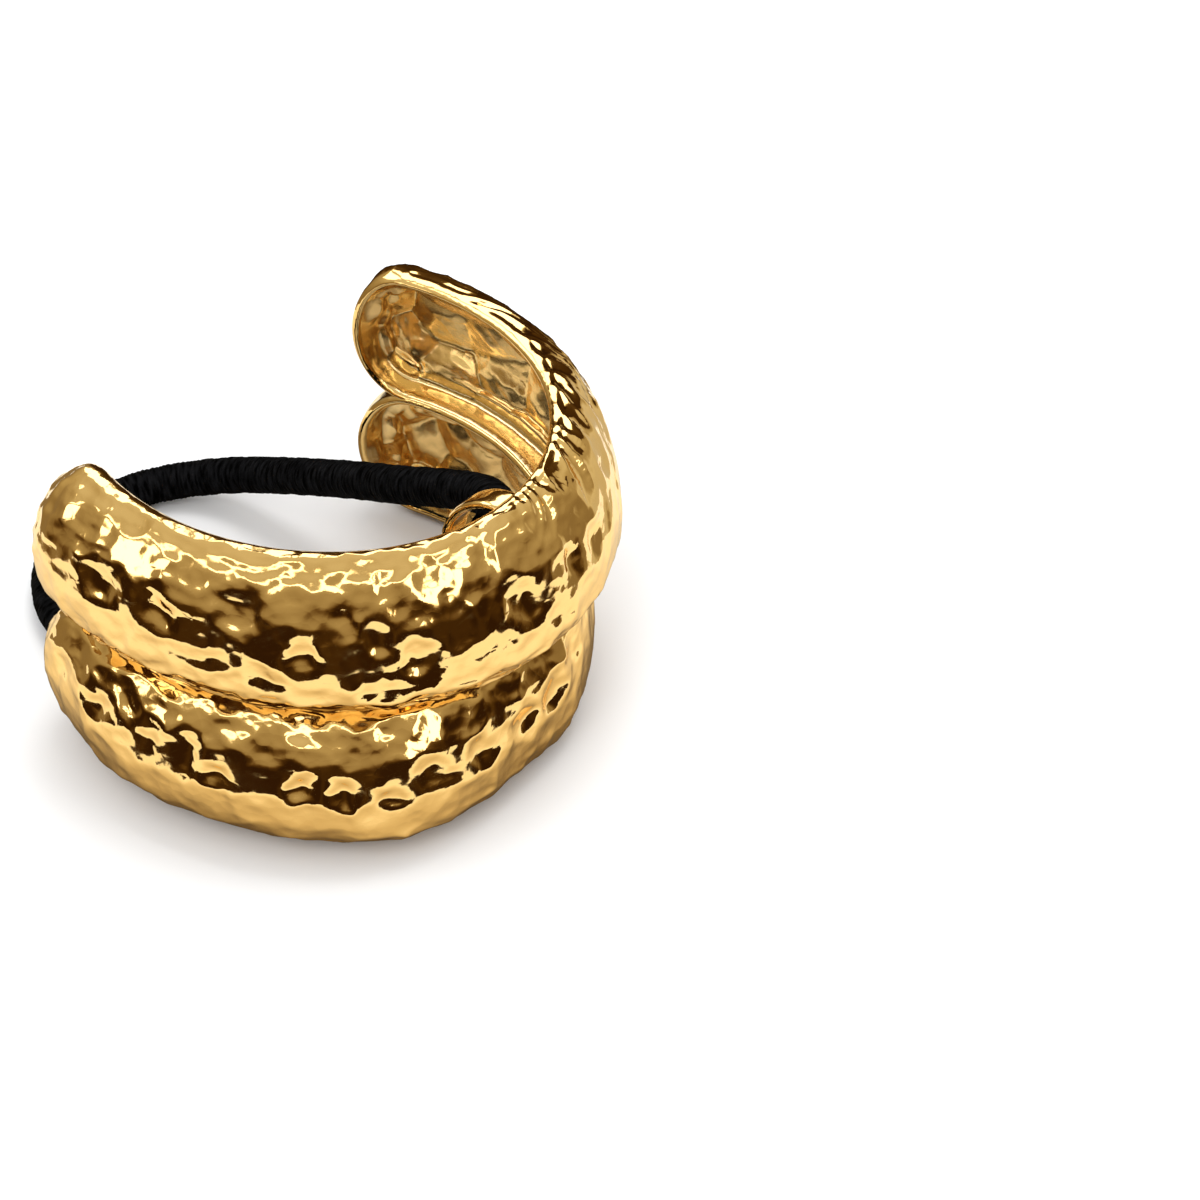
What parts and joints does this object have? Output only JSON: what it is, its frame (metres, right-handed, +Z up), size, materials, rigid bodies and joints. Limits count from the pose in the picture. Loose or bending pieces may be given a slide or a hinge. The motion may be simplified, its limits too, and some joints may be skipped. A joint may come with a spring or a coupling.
{
  "type": "ponytail cuff",
  "caption": "Open two-row hammered gold hair cuff with hollow rounded rows, a soldered inner holder and a black elastic loop",
  "frame": {"origin": "on the surface that the cuff stands on, under the middle of the metal cuff's box", "axes": "+Z up through the ponytail space, +Y out of the cuff's mouth, +X across the cuff"},
  "size_m": [0.0576, 0.0642, 0.0313],
  "materials": {
    "polished_gold": "hammered and highly polished yellow gold plate",
    "black_elastic": "matte thread-wound elastic"
  },
  "bodies": {
    "root": {"hammered_cuff": "polished_gold", "elastic_loop": "black_elastic"}
  },
  "joints": []
}
